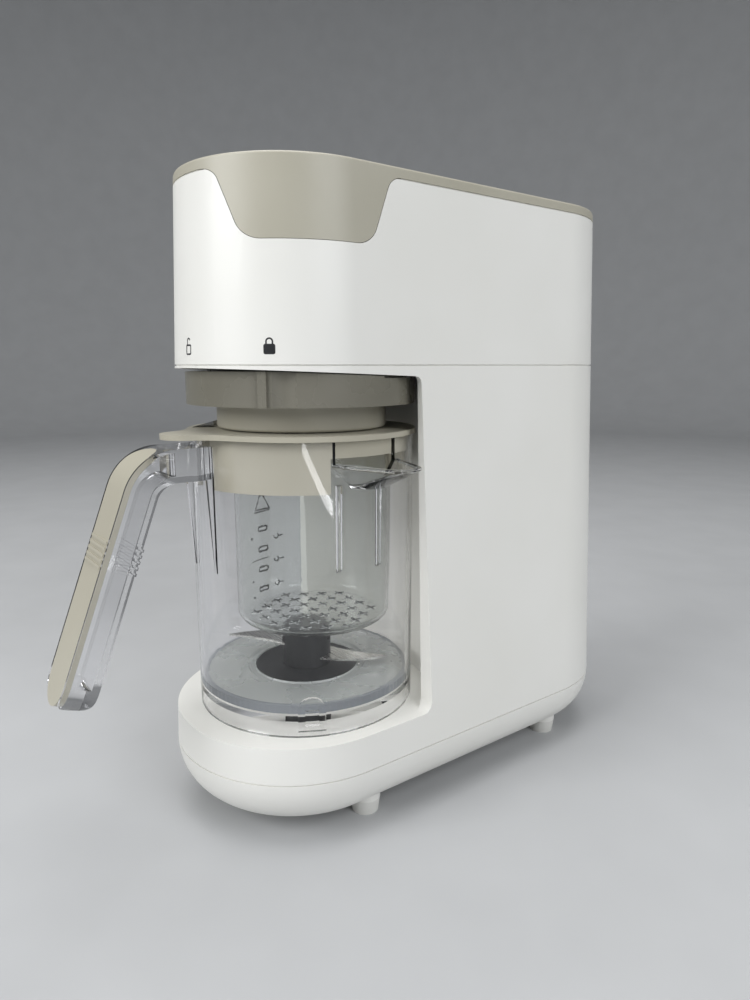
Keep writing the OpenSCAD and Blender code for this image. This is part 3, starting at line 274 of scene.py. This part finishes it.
def plate(bm, width, height, corner, x=0.0, y=0.0, turn=0.0):
    """Flat rounded rectangle; returns its face."""
    made = bmesh.ops.create_grid(bm, x_segments=1, y_segments=1, size=0.5)["verts"]
    bmesh.ops.scale(bm, vec=(width, height, 1), verts=made)
    if corner:
        made = bmesh.ops.bevel(bm, geom=made, offset=corner, offset_type="OFFSET", segments=5, profile=0.5,
                               affect="VERTICES", material=-1)["verts"]
    face = made[0].link_faces[0]
    made = list(face.verts)
    bmesh.ops.rotate(bm, cent=(0, 0, 0), matrix=Matrix.Rotation(math.radians(turn), 3, "Z"), verts=made)
    bmesh.ops.translate(bm, vec=(x, y, 0), verts=made)
    return face


def hollow(bm, face, line):
    """Leaves only an outline of a face, of a given line width."""
    bmesh.ops.inset_individual(bm, faces=[face], thickness=line, use_even_offset=True)
    bmesh.ops.delete(bm, geom=[face], context="FACES_ONLY")


def arc_band(bm, radius, line, start, sweep, x=0.0, y=0.0):
    """Flat band along an arc, its angles in degrees."""
    a = math.radians(start)
    ends = []
    for r in (radius - line / 2, radius + line / 2):
        ends.append(bm.verts.new((x + r * math.cos(a), y + r * math.sin(a), 0)))
    edge = bm.edges.new(ends)
    bmesh.ops.spin(bm, geom=[*ends, edge], cent=(x, y, 0), axis=(0, 0, 1), angle=math.radians(sweep),
                   steps=max(6, int(abs(sweep) / 12)), use_merge=abs(sweep) >= 360, use_normal_flip=False)


def print_piece(name, bm, place, material, body):
    """Gives flat faces in mm the thickness of a print, lays them on a part and makes them a piece.

    place gives the point in metres on the part for x, y and z in mm.
    """
    bmesh.ops.remove_doubles(bm, verts=bm.verts, dist=0.001)
    reach = math.ceil(max(abs(v.co.x) for v in bm.verts))
    for x in range(-reach, reach):     # strips 1 mm wide, which follow a curved wall
        everything = [*bm.verts, *bm.edges, *bm.faces]
        bmesh.ops.bisect_plane(bm, geom=everything, plane_co=(x, 0, 0), plane_no=(1, 0, 0))
    grown = bmesh.ops.extrude_face_region(bm, geom=bm.faces[:])["geom"]
    top = [g for g in grown if isinstance(g, bmesh.types.BMVert)]
    bmesh.ops.translate(bm, vec=(0, 0, INK), verts=top)
    bmesh.ops.recalc_face_normals(bm, faces=bm.faces)
    for v in bm.verts:
        v.co = place(*v.co)
    bmesh.ops.recalc_face_normals(bm, faces=bm.faces)
    return make_piece(name, bm, material, body)


def make_piece(name, bm, material, body):
    """Turns a bmesh in metres into a piece that rides on a body."""
    mesh = bpy.data.meshes.new(name)
    bm.to_mesh(mesh)
    bm.free()
    mesh.materials.append(material)
    piece = bpy.data.objects.new(name, mesh)
    bpy.context.scene.collection.objects.link(piece)
    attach(piece, body)
    return piece


def on_top(part):
    """Place on a part's flat top, from its middle: x and y along it, z out of it."""
    low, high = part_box(part)
    middle = (low + high) / 2

    def place(x, y, z):
        return Vector((middle.x + x * MM, middle.y + y * MM, high.z + (z + LIFT) * MM))
    return place


for button in buttons:
    sign = bmesh.new()
    if button == "power_button":       # an open ring with a bar
        arc_band(sign, radius=2.6, line=0.6, start=120, sweep=300)
        plate(sign, width=0.6, height=2.6, corner=0, y=2.2)
    elif button == "steam_button":     # three wavy lines
        wave = 1.1
        for x in (-2.2, 0, 2.2):
            arc_band(sign, radius=wave, line=0.55, start=90, sweep=180, x=x, y=wave)
            arc_band(sign, radius=wave, line=0.55, start=90, sweep=-180, x=x, y=-wave)
    else:                              # three short blades
        reach = 2.0
        for turn in (0, 120, 240):
            x = -reach * math.sin(math.radians(turn))
            y = reach * math.cos(math.radians(turn))
            plate(sign, width=1.3, height=3.0, corner=0.55, x=x, y=y, turn=turn)
    print_piece(button.replace("button", "sign"), sign, on_top(button), black_ink, button)


# ---------------------------------------------------------------------------
# Lock prints on the head
# Two small padlocks are pad-printed on the head's curved nose in black: a
# solid closed one over the ring's locked place, an outlined open one over
# the place where it lets the jug go.
# ---------------------------------------------------------------------------

low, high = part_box("head_housing")
seam_half = (high.x - low.x) / 2      # half the head's width at its lower seam
axis_x = (low.x + high.x) / 2
seam_z = low.z
nose_y = low.y + seam_half
draft = math.radians(2.35)            # lean of the head's wall


def on_nose(turn, height):
    """Place on the head's nose: x runs round it, y up it, z out of it.

    turn is in degrees from the front towards the spout, height in mm above the head's seam.
    """
    def place(x, y, z):
        level = (height + y) * MM
        radius = seam_half - math.tan(draft) * level
        angle = math.radians(turn) + x * MM / radius
        radius += z * MM
        return Vector((
            axis_x + radius * math.sin(angle),
            nose_y - radius * math.cos(angle),
            seam_z + level))
    return place


closed_lock = bmesh.new()
shackle_r = 1.45
plate(closed_lock, width=5.4, height=4.6, corner=0.9, y=-1.6)
arc_band(closed_lock, radius=shackle_r, line=0.7, start=0, sweep=180, y=1.7)
for side in (-shackle_r, shackle_r):
    plate(closed_lock, width=0.7, height=1.1, corner=0, x=side, y=1.15)
locked_place = on_nose(turn=49.9, height=8.4)
print_piece("closed_lock_print", closed_lock, locked_place, black_ink, "base")

open_lock = bmesh.new()
shackle_r = 1.15
hollow(open_lock, plate(open_lock, width=4.6, height=4.9, corner=0.9, y=-1.7), line=0.75)
arc_band(open_lock, radius=shackle_r, line=0.6, start=10, sweep=170, y=2.4)
plate(open_lock, width=0.6, height=1.8, corner=0, x=-shackle_r, y=1.6)
open_place = on_nose(turn=5.6, height=8.6)
print_piece("open_lock_print", open_lock, open_place, black_ink, "base")


# ---------------------------------------------------------------------------
# Water tank, boiler and steam pipe
# The tank is one blow-moulded polypropylene box in the head; a silicone
# hose feeds the cast aluminium boiler, and a steel pipe takes its steam on.
# ---------------------------------------------------------------------------

def clear(name, colour, rough, ior, ripple_mm, depth_mm, through=1.0):
    """Clear moulded plastic with the long, faint ripple that its flow leaves; through is how clear it is."""
    material = new_material(name)
    place = add_node(material, "ShaderNodeTexCoord").outputs["Object"]
    ripple = add_node(material, "ShaderNodeTexNoise", {"Scale": 1 / (ripple_mm * MM), "Detail": 1.0},
                      {"Vector": place})
    bump = add_node(material, "ShaderNodeBump", {"Strength": 0.15, "Distance": depth_mm * MM},
                    {"Height": ripple.outputs["Fac"]})
    shader = add_node(material, "ShaderNodeBsdfPrincipled", {
        "Base Color": srgb(colour), "IOR": ior, "Transmission Weight": through}, {
        "Roughness": wandering(material, place, rough, spread=rough * 0.5, size_mm=25),
        "Normal": bump.outputs["Normal"]})
    return finish_material(material, shader)


# Natural polypropylene: milky clear, so the water level shows as a soft line.
natural_pp = clear("natural polypropylene", colour="#E6EBEC", rough=0.22, ior=1.49, ripple_mm=14,
                   depth_mm=0.2)
# Platinum-cured silicone tube: cloudy white, waxy.
silicone_tube = moulded("clear silicone tube", colour="#D5D6D2", shade="#CACBC6", rough=0.38,
                        grain_mm=0.6, depth_mm=0.02, ior=1.41)
# Cast aluminium, as it leaves the mould: dull, pale, finely pitted.
cast_aluminium = streaked("cast aluminium", colour="#B9BBBD", shade="#9C9EA1", rough=0.52, along=2,
                          streak_mm=0.6, run_mm=0.8, depth_mm=0.05)

dress("water_tank", natural_pp)
dress("feed_hose", silicone_tube)
dress("boiler", cast_aluminium)
dress("steam_pipe", turned_steel)


# ---------------------------------------------------------------------------
# Inner frame, motor and belt drive
# A zinc-plated steel frame and bracket carry the motor; a rubber belt takes
# its turn to a nylon pulley under the jug, whose fork drives the blades.
# ---------------------------------------------------------------------------

# Zinc-plated sheet: grey metal with a faint large bloom.
zinc_sheet = streaked("zinc-plated sheet steel", colour="#A8ABAF", shade="#8E9296", rough=0.42, along=2,
                      streak_mm=9, run_mm=12, depth_mm=0.02)
# Sintered bronze, pressed and oiled: brown-gold and porous.
sintered_bronze = streaked("sintered bronze", colour="#A88452", shade="#8E6C40", rough=0.48, along=2,
                           streak_mm=0.4, run_mm=0.5, depth_mm=0.04)
# Glass-filled nylon: near black, satin, with fine flow grain.
black_nylon = moulded("black glass-filled nylon", colour="#0C0D0E", shade="#111214", rough=0.42,
                      grain_mm=0.6, depth_mm=0.03, ior=1.36)
# Rubber belt: dead black and matt.
belt_rubber = moulded("black belt rubber", colour="#17181A", shade="#202124", rough=0.7, grain_mm=0.5,
                      depth_mm=0.03, ior=1.52)

for part in ("inner_frame", "motor_bracket", "motor_can"):
    dress(part, zinc_sheet)
for part in ("motor_shaft", "drive_shaft"):
    dress(part, turned_steel)
dress("drive_bearings", sintered_bronze)
dress("drive_belt", belt_rubber)
for part in ("motor_pulley", "drive_pulley", "drive_fork", "power_inlet", "lock_switch"):
    dress(part, black_nylon)


# ---------------------------------------------------------------------------
# Circuit boards
# Two glass-epoxy boards, green with lacquer over fine copper tracks, stand
# behind the panel and at the back of the base.
# ---------------------------------------------------------------------------

# Glass epoxy under solder lacquer: deep glossy green with paler square tracks.
TRACK_BLOCK = 12   # size of a block between tracks, mm
board_green = new_material("lacquered glass epoxy")
place = add_node(board_green, "ShaderNodeTexCoord").outputs["Object"]
tracks = add_node(board_green, "ShaderNodeTexBrick", {
    "Color1": srgb("#1D5B34"), "Color2": srgb("#1A5230"), "Mortar": srgb("#2F7A48"),
    "Scale": 1 / (TRACK_BLOCK * MM), "Mortar Size": 0.03}, {"Vector": place})
shader = add_node(board_green, "ShaderNodeBsdfPrincipled", {"IOR": 1.5}, {
    "Base Color": tracks.outputs["Color"],
    "Roughness": wandering(board_green, place, 0.25, spread=0.05, size_mm=10)})
finish_material(board_green, shader)
dress("control_board", board_green)
dress("power_board", board_green)


# ---------------------------------------------------------------------------
# Lock ring and steam sleeve
# The ring, of the cover's greige ABS darkened by painted shade from the head above it,
# turns under the head by its finger tab and lowers a greige sleeve, whose silicone
# seal presses on the lid; the steel nozzle blows inside it.
# ---------------------------------------------------------------------------

# Silicone, coloured grey: soft, matt and slightly dusty.
grey_silicone = moulded("grey silicone", colour="#808488", shade="#787C80", rough=0.55, grain_mm=0.5,
                        depth_mm=0.02, ior=1.41)
# The cover's greige ABS from a polished tool, darkened with painted shade: the shade under the head is
# painted into its colour, so it stands out from the cream lid below it.
greige_abs_with_painted_shade = moulded("greige moulded ABS with painted shade", colour="#78756A", shade="#726F63", rough=0.28,
                          grain_mm=0.9, depth_mm=0.02, ior=1.53)
# The ring and its carrier take the greige with painted shade from the head above them.
for part in ("ring_carrier", "lock_ring"):
    dress(part, greige_abs_with_painted_shade)
dress("steam_sleeve", greige_abs)
dress("sleeve_seal", grey_silicone)
dress("steam_nozzle", turned_steel)


# ---------------------------------------------------------------------------
# Jug with its handle
# Wall, spout, ribs and handle are one moulding of clear copolyester, so
# they are joined here into one piece; a cream strip closes the channel
# down the outside of the handle.
# ---------------------------------------------------------------------------

# Copolyester, moulded in a polished tool: water clear, its thick edges faintly violet.
clear_copolyester = clear("clear copolyester", colour="#FDFDFE", rough=0.01, ior=1.42, ripple_mm=30,
                          depth_mm=0.1)


def merged_copy(name):
    """A part's mesh as a bmesh, with its loose triangles merged."""
    bm = bmesh.new()
    bm.from_mesh(nodes[name].data)
    bmesh.ops.remove_doubles(bm, verts=bm.verts, dist=0.002 * MM)
    return bm


def plain_object(name, bm):
    mesh = bpy.data.meshes.new(name)
    bm.to_mesh(mesh)
    bm.free()
    made = bpy.data.objects.new(name, mesh)
    bpy.context.scene.collection.objects.link(made)
    return made


def applied(obj):
    """The object's mesh with its modifiers applied."""
    bpy.context.view_layer.update()
    seen = obj.evaluated_get(bpy.context.evaluated_depsgraph_get())
    mesh = bpy.data.meshes.new_from_object(seen)
    bm = bmesh.new()
    bm.from_mesh(mesh)
    bpy.data.meshes.remove(mesh)
    return bm


jug_shell = plain_object("jug_shell_start", merged_copy("jug_wall"))
grip = plain_object("grip_start", merged_copy("jug_handle"))
join = jug_shell.modifiers.new("join", "BOOLEAN")
join.operation = "UNION"
join.solver = "EXACT"
join.object = grip
joined = applied(jug_shell)
for start in (jug_shell, grip):
    bpy.data.objects.remove(start)
bmesh.ops.dissolve_degenerate(joined, edges=joined.edges, dist=0.001 * MM)
jug_moulding = make_piece("jug_moulding", joined, clear_copolyester, "jug")
shade_curves(jug_moulding)
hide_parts("jug_wall", "jug_handle")
dress("handle_inlay", cream_pp)


# ---------------------------------------------------------------------------
# Jug floor, seal and blade seat
# A milky grey floor is turned into the jug against a grey silicone seal;
# a black nylon plate with a bronze bush in it carries the blades.
# ---------------------------------------------------------------------------

# Copolyester, finely frosted below: pale grey, milky and half clear.
frosted_copolyester = clear("frosted copolyester", colour="#BCC0BE", rough=0.28, ior=1.55, ripple_mm=90,
                            depth_mm=0.02, through=0.6)
dress("jug_floor", frosted_copolyester)
dress("floor_seal", grey_silicone)
dress("blade_plate", black_nylon)
dress("blade_bush", sintered_bronze)


# ---------------------------------------------------------------------------
# Blades and hub
# Two ground stainless blades are clamped in a black nylon hub that turns
# on a steel shaft; a nylon tang below takes the drive.
# ---------------------------------------------------------------------------

# Stainless sheet, ground along the blade: bright, with fine long scratches.
ground_steel = streaked("ground stainless steel", colour="#D8D7D3", shade="#BDBBB6", rough=0.26,
                        along=0, streak_mm=0.4, run_mm=40, depth_mm=0.01)
for part in ("lower_blade", "upper_blade"):
    dress(part, ground_steel)
dress("blade_shaft", turned_steel)
dress("blade_hub", black_nylon)
dress("blade_tang", black_nylon)


# ---------------------------------------------------------------------------
# Lid, valve and steaming basket
# The cream polypropylene lid hangs a clear basket in the jug by its
# collar; food steams on the basket's pierced floor. A smoke valve flap
# lies in the lid.
# ---------------------------------------------------------------------------

# Tinted copolyester, polished: grey and half clear.
smoke_copolyester = clear("smoke copolyester", colour="#9FA1A6", rough=0.1, ior=1.55, ripple_mm=20,
                          depth_mm=0.1)
dress("lid", cream_pp)
dress("lid_valve", smoke_copolyester)

low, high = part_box("steam_basket")
basket_r = 43 * MM
basket_round = 6 * MM     # rounding between its wall and its floor
basket_x = (low.x + high.x) / 2
basket_back = 5.5 * MM    # the basket stands this much nearer the tower than its flange
basket_y = (low.y + high.y) / 2 + basket_back
basket_low = low.z

# The same copolyester, steamed often: a little hazed, and pebbled on its floor, where the food stands.
PEBBLE = 2.2      # size of a pebble, mm
PEBBLES_FULL = 3  # pebbles are whole up to this height above the basket's underside, mm
PEBBLES_END = 5   # and gone from this height up, mm
steamed_copolyester = new_material("steamed copolyester")
place = add_node(steamed_copolyester, "ShaderNodeTexCoord").outputs["Object"]
height = add_node(steamed_copolyester, "ShaderNodeSeparateXYZ", links={"Vector": place}).outputs["Z"]
on_floor = add_node(steamed_copolyester, "ShaderNodeMapRange", {
    "From Min": basket_low + PEBBLES_END * MM, "From Max": basket_low + PEBBLES_FULL * MM}, {
    "Value": height}).outputs["Result"]
pebbles = add_node(steamed_copolyester, "ShaderNodeTexVoronoi", {"Scale": 1 / (PEBBLE * MM)},
                   {"Vector": place})
relief = add_node(steamed_copolyester, "ShaderNodeMapRange", {"To Min": 0.02, "To Max": 0.12},
                  {"Value": on_floor})
bump = add_node(steamed_copolyester, "ShaderNodeBump", {"Distance": 0.5 * MM}, {
    "Height": pebbles.outputs["Distance"], "Strength": relief.outputs["Result"]})
haze = add_node(steamed_copolyester, "ShaderNodeMapRange", {"To Min": 0.03, "To Max": 0.04},
                {"Value": on_floor})
shader = add_node(steamed_copolyester, "ShaderNodeBsdfPrincipled", {
    "Base Color": srgb("#EEF0EE"), "IOR": 1.42, "Transmission Weight": 1.0}, {
    "Roughness": haze.outputs["Result"], "Normal": bump.outputs["Normal"]})
finish_material(steamed_copolyester, shader)
dress("steam_basket", steamed_copolyester)


def on_basket(turn, height):
    """Place on the basket's wall: x runs round it, y up it, z out of it.

    turn is in degrees from the front towards the spout, height in mm above the basket's underside.
    """
    def place(x, y, z):
        level = (height + y) * MM
        fall = min(basket_round, max(0, basket_round - level))
        radius = basket_r - basket_round + math.sqrt(basket_round ** 2 - fall ** 2) + (z + LIFT) * MM
        angle = math.radians(turn) + x * MM / basket_r
        return Vector((
            basket_x + radius * math.sin(angle),
            basket_y - radius * math.cos(angle),
            basket_low + level))
    return place


# The scale: a triangle over a line, boxes down the middle, a long tick, dots on one side and pointers on
# the other. Sizes and heights are in mm, heights above the basket's underside.
triangle_r = 8.0
box_heights = (43.5, 31, 18.5, 6)
dot_heights = (39, 12.5, 2.5)
pointer_heights = (37.2, 22.7, 7.5)

marks = bmesh.new()
triangle = bmesh.ops.create_circle(marks, segments=3, radius=triangle_r, cap_ends=True)["verts"]
bmesh.ops.translate(marks, vec=(0, 58.8, 0), verts=triangle)
hollow(marks, triangle[0].link_faces[0], line=0.9)
plate(marks, width=13.5, height=0.8, corner=0, x=0.5, y=54.0)
for height in box_heights:
    hollow(marks, plate(marks, width=8.8, height=3.8, corner=1.5, y=height), line=1.15)
plate(marks, width=16, height=0.6, corner=0, x=3.6, y=24.8)
for height in dot_heights:
    plate(marks, width=2.4, height=1.3, corner=0.5, x=10.6, y=height)
for height in pointer_heights:
    arc_band(marks, radius=1.5, line=0.9, start=120, sweep=260, x=-10.6, y=height)
    plate(marks, width=3.6, height=0.7, corner=0, x=-13.8, y=height)
print_piece("basket_scale", marks, on_basket(turn=-74.5, height=0), black_ink, "lid")

# Clear walls cast no shadow and catch no soft light, so what they hold is lit as if they weren't there.
for part in ("steam_basket", "jug_floor", "lid_valve", "water_tank"):
    nodes[part].visible_shadow = False
    nodes[part].visible_diffuse = False
jug_moulding.visible_shadow = False
jug_moulding.visible_diffuse = False


# ---------------------------------------------------------------------------
# Floor, backdrop, lamps and camera
# A pale paper sweep runs all round the object. A wide soft lamp stands in
# front, one at the right and one above, and the camera is close, at the
# height of a table's edge.
# ---------------------------------------------------------------------------

FLOOR_REACH = 2.3   # radius of the flat floor round the object, m
BEND = 0.8          # radius of the bend from the floor to the wall, m
WALL = 3.2          # height of the wall above the bend, m

sweep = bmesh.new()
centre_point = sweep.verts.new((0, 0, 0))
rim_point = sweep.verts.new((FLOOR_REACH, 0, 0))
sweep.edges.new((centre_point, rim_point))
bend_end = bmesh.ops.spin(sweep, geom=[rim_point], cent=(FLOOR_REACH, 0, BEND), axis=(0, -1, 0),
                          angle=math.radians(90), steps=16)["geom_last"]
top_point = bmesh.ops.extrude_vert_indiv(sweep, verts=bend_end)["verts"]
bmesh.ops.translate(sweep, vec=(0, 0, WALL), verts=top_point)
bmesh.ops.spin(sweep, geom=[*sweep.verts, *sweep.edges], cent=(0, 0, 0), axis=(0, 0, 1),
               angle=math.radians(360), steps=96, use_merge=True)
bmesh.ops.remove_doubles(sweep, verts=sweep.verts, dist=0.001)
bmesh.ops.recalc_face_normals(sweep, faces=sweep.faces)
if sweep.faces[0].normal.z < 0:
    bmesh.ops.reverse_faces(sweep, faces=sweep.faces)
mesh = bpy.data.meshes.new("sweep")
sweep.to_mesh(mesh)
sweep.free()
for face in mesh.polygons:
    face.use_smooth = True
floor = bpy.data.objects.new("floor_and_backdrop", mesh)
bpy.context.scene.collection.objects.link(floor)
# Matt paper: pale grey, with a barely seen tooth.
paper = moulded("pale grey paper", colour="#B9BABB", shade="#B5B6B7", rough=0.8, grain_mm=1.0,
                depth_mm=0.02, ior=1.4)
mesh.materials.append(paper)


def lamp(name, place, look_at, width, height, watts, colour, tilt=0):
    """Soft rectangular lamp that faces a point; tilt turns its rectangle, in degrees."""
    data = bpy.data.lights.new(name, "AREA")
    data.shape = "RECTANGLE"
    data.size = width
    data.size_y = height
    data.energy = watts
    data.color = srgb(colour)[:3]
    made = bpy.data.objects.new(name, data)
    made.location = place
    made.rotation_euler = (Vector(look_at) - Vector(place)).to_track_quat("-Z", "Y").to_euler()
    made.rotation_euler.rotate_axis("Z", math.radians(tilt))
    bpy.context.scene.collection.objects.link(made)
    return made


lamp("window lamp", place=(-0.05, -1.5, 1.0), look_at=(0, 0, 0.2), width=1.0, height=1.0, watts=19.5,
     colour="#FDFEFF")
lamp("room lamp", place=(1.6, 0.2, 1.1), look_at=(0, 0, 0.15), width=1.0, height=1.2, watts=16,
     colour="#FAFCFF")
lamp("ceiling lamp", place=(-0.1, -0.1, 1.9), look_at=(0, 0, 0), width=1.5, height=1.5, watts=22,
     colour="#FFFFFF")
strip = lamp("low strip lamp", place=(0.6, -0.235, 0.09), look_at=(0, 0, 0.16), width=0.34, height=0.02,
             watts=0.12, colour="#FFFFFF", tilt=-16.7)
strip.visible_diffuse = False     # it only draws the slanted highlight on the jug

world = bpy.data.worlds.new("studio")
world.use_nodes = True
bpy.context.scene.world = world
world.node_tree.nodes["Background"].inputs["Color"].default_value = srgb("#E4E7EA")
world.node_tree.nodes["Background"].inputs["Strength"].default_value = 0.3

PITCH = 10.82      # the camera looks down by this, degrees
HEADING = 53.22    # and is turned by this from the object's front towards the spout, degrees
lens = bpy.data.cameras.new("camera")
lens.lens = 25.44
lens.sensor_width = 36
lens.clip_start = 0.01
camera = bpy.data.objects.new("camera", lens)
camera.location = (0.320868, -0.239694, 0.2413)
camera.rotation_euler = Euler((math.radians(90 - PITCH), 0, math.radians(HEADING)), "XYZ")
bpy.context.scene.collection.objects.link(camera)
bpy.context.scene.camera = camera
bpy.context.scene.view_settings.view_transform = "Standard"
